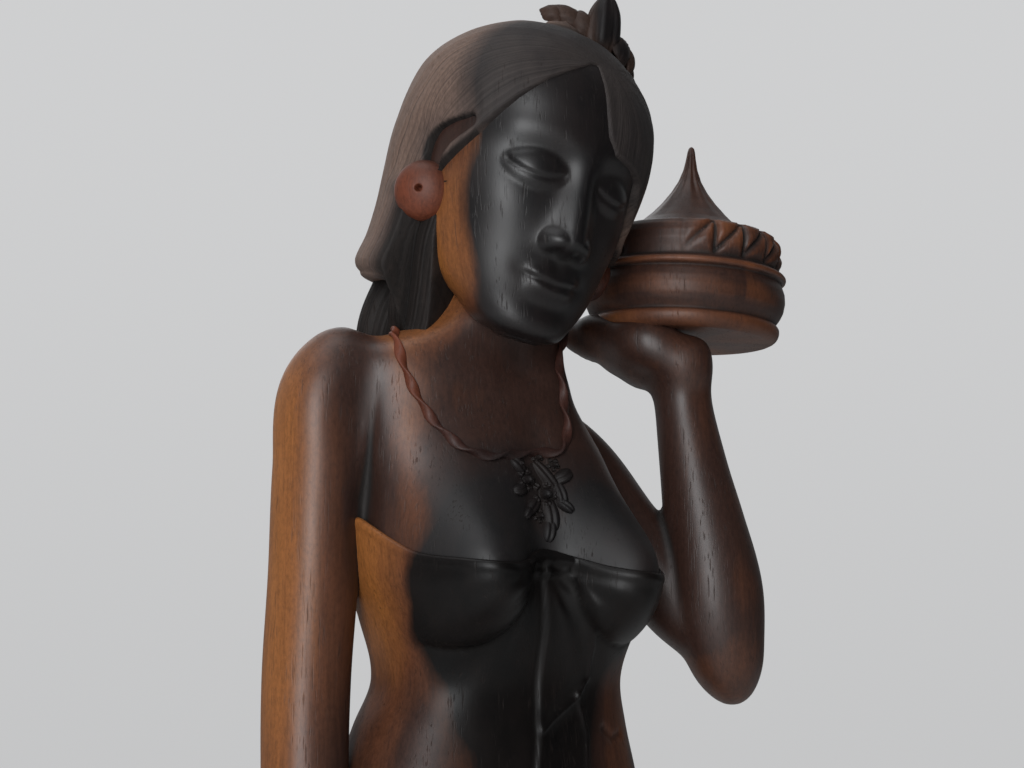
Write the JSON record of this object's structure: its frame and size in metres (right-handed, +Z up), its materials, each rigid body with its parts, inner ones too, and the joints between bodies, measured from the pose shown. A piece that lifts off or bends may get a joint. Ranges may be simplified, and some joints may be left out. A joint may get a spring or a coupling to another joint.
{
  "type": "carved figure",
  "caption": "Carved hardwood figure of a standing woman in wrapped cloth, with a lidded offering box held on her raised hand, on a low base.",
  "frame": {"origin": "middle of the base's flat underside", "axes": "+Z up through the figure; she faces -Y and her raised left arm is on the +X side"},
  "size_m": [0.117, 0.07, 0.3862],
  "materials": {
    "wood": "polished, two-tone heartwood"
  },
  "bodies": {
    "root": {"statue": "wood"}
  },
  "joints": []
}
